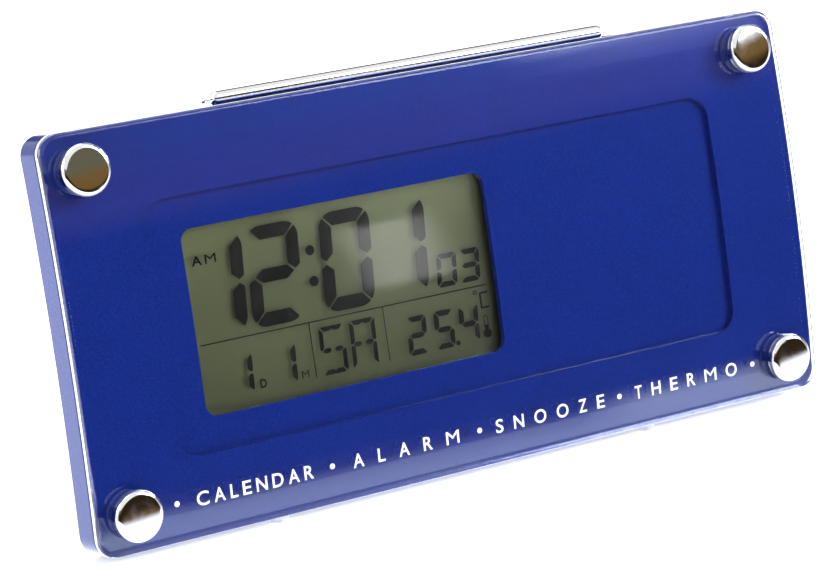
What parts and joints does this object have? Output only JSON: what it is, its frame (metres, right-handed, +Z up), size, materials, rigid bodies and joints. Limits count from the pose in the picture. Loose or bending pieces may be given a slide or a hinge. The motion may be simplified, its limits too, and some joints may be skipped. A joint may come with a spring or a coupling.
{
  "type": "alarm clock",
  "caption": "Leaning digital desk alarm clock: bowed clear front plate on round caps, display window, top snooze bar, rear buttons, battery bay and fold-out stand.",
  "frame": {"origin": "on the desk surface, under the middle of the clock's box, in its standing pose", "axes": "+Z up, front faces -Y and leans back 15 degrees, +X to the right seen from the front"},
  "size_m": [0.17, 0.0582, 0.081],
  "materials": {
    "clear_acrylic": "clear polished acrylic",
    "clear_washer": "translucent soft washer",
    "chrome": "bright polished chrome",
    "screw_steel": "nickel-plated steel",
    "spring_steel": "nickel-plated spring steel",
    "blue_body": "metallic blue paint, fine flake",
    "rear_plastic": "moulded blue plastic, fine texture",
    "display_glass": "thin display glass",
    "display_reflector": "grey-green reflector",
    "white_plastic": "moulded white plastic",
    "silicone": "grey silicone",
    "circuit_board": "green circuit board",
    "black_resin": "black epoxy",
    "components": "ceramic chips",
    "switch_black": "black switch housing",
    "battery_sleeve": "printed battery sleeve",
    "wire_insulation": "red insulated wire",
    "button_plastic": "light grey button plastic",
    "sounder_brass": "brass sounder disc",
    "foot_rubber": "soft clear rubber",
    "ribbon": "flat white ribbon"
  },
  "bodies": {
    "case": {"alarm_switch_body": "switch_black", "battery_contacts": "spring_steel", "battery_left": "battery_sleeve", "battery_right": "battery_sleeve", "battery_springs": "spring_steel", "battery_wires": "wire_insulation", "board_components": "components", "board_screws": "screw_steel", "button_board": "circuit_board", "button_board_screws": "screw_steel", "cap_screws": "screw_steel", "cap_washers": "clear_washer", "clear_front_plate": "clear_acrylic", "clock_chip": "black_resin", "contact_strips": "silicone", "corner_caps": "chrome", "down_dome": "silicone", "front_feet": "foot_rubber", "front_shell": "blue_body", "lcd_front_glass": "display_glass", "lcd_holder": "white_plastic", "lcd_rear_glass": "display_glass", "lcd_reflector": "display_reflector", "main_board": "circuit_board", "mode_dome": "silicone", "quartz_crystal": "screw_steel", "rear_cover": "rear_plastic", "ribbon_cable": "ribbon", "set_dome": "silicone", "snooze_spring_left": "spring_steel", "snooze_spring_right": "spring_steel", "snooze_switch": "switch_black", "sounder_disc": "sounder_brass", "stand_pin": "screw_steel", "temperature_sensor": "black_resin", "up_dome": "silicone"},
    "snooze_bar": {"snooze_bar": "chrome"},
    "mode_button": {"mode_button": "button_plastic"},
    "set_button": {"set_button": "button_plastic"},
    "up_button": {"up_button": "button_plastic"},
    "down_button": {"down_button": "button_plastic"},
    "alarm_switch_knob": {"alarm_switch_knob": "button_plastic"},
    "battery_door": {"battery_door": "rear_plastic"},
    "stand_leg": {"stand_leg": "rear_plastic", "stand_foot_pad": "foot_rubber"}
  },
  "joints": [
    {"name": "snooze_press", "type": "slide", "parent": "case", "child": "snooze_bar", "axis": [0, -0.2588, -0.9659], "range_m": [0, 0.0012], "stiffness_N_per_m": 300, "springref_m": -0.004, "deforming": ["snooze_spring_left", "snooze_spring_right"]},
    {"name": "mode_press", "type": "slide", "parent": "case", "child": "mode_button", "axis": [0, -0.9659, 0.2588], "range_m": [0, 0.0008], "stiffness_N_per_m": 600, "springref_m": -0.0015, "deforming": ["mode_dome"]},
    {"name": "set_press", "type": "slide", "parent": "case", "child": "set_button", "axis": [0, -0.9659, 0.2588], "range_m": [0, 0.0008], "stiffness_N_per_m": 600, "springref_m": -0.0015, "deforming": ["set_dome"]},
    {"name": "up_press", "type": "slide", "parent": "case", "child": "up_button", "axis": [0, -0.9659, 0.2588], "range_m": [0, 0.0008], "stiffness_N_per_m": 600, "springref_m": -0.0015, "deforming": ["up_dome"]},
    {"name": "down_press", "type": "slide", "parent": "case", "child": "down_button", "axis": [0, -0.9659, 0.2588], "range_m": [0, 0.0008], "stiffness_N_per_m": 600, "springref_m": -0.0015, "deforming": ["down_dome"]},
    {"name": "alarm_switch_slide", "type": "slide", "parent": "case", "child": "alarm_switch_knob", "axis": [1, 0, 0], "range_m": [0, 0.003]},
    {"name": "battery_door_hinge", "type": "hinge", "parent": "case", "child": "battery_door", "pos_m": [0.0356, 0.01226, 0.06049], "axis": [1, 0, 0], "range_deg": [0, 75]},
    {"name": "stand_fold", "type": "hinge", "parent": "case", "child": "stand_leg", "pos_m": [0, 0.00856, 0.04802], "axis": [1, 0, 0], "range_deg": [-37, 0]}
  ]
}
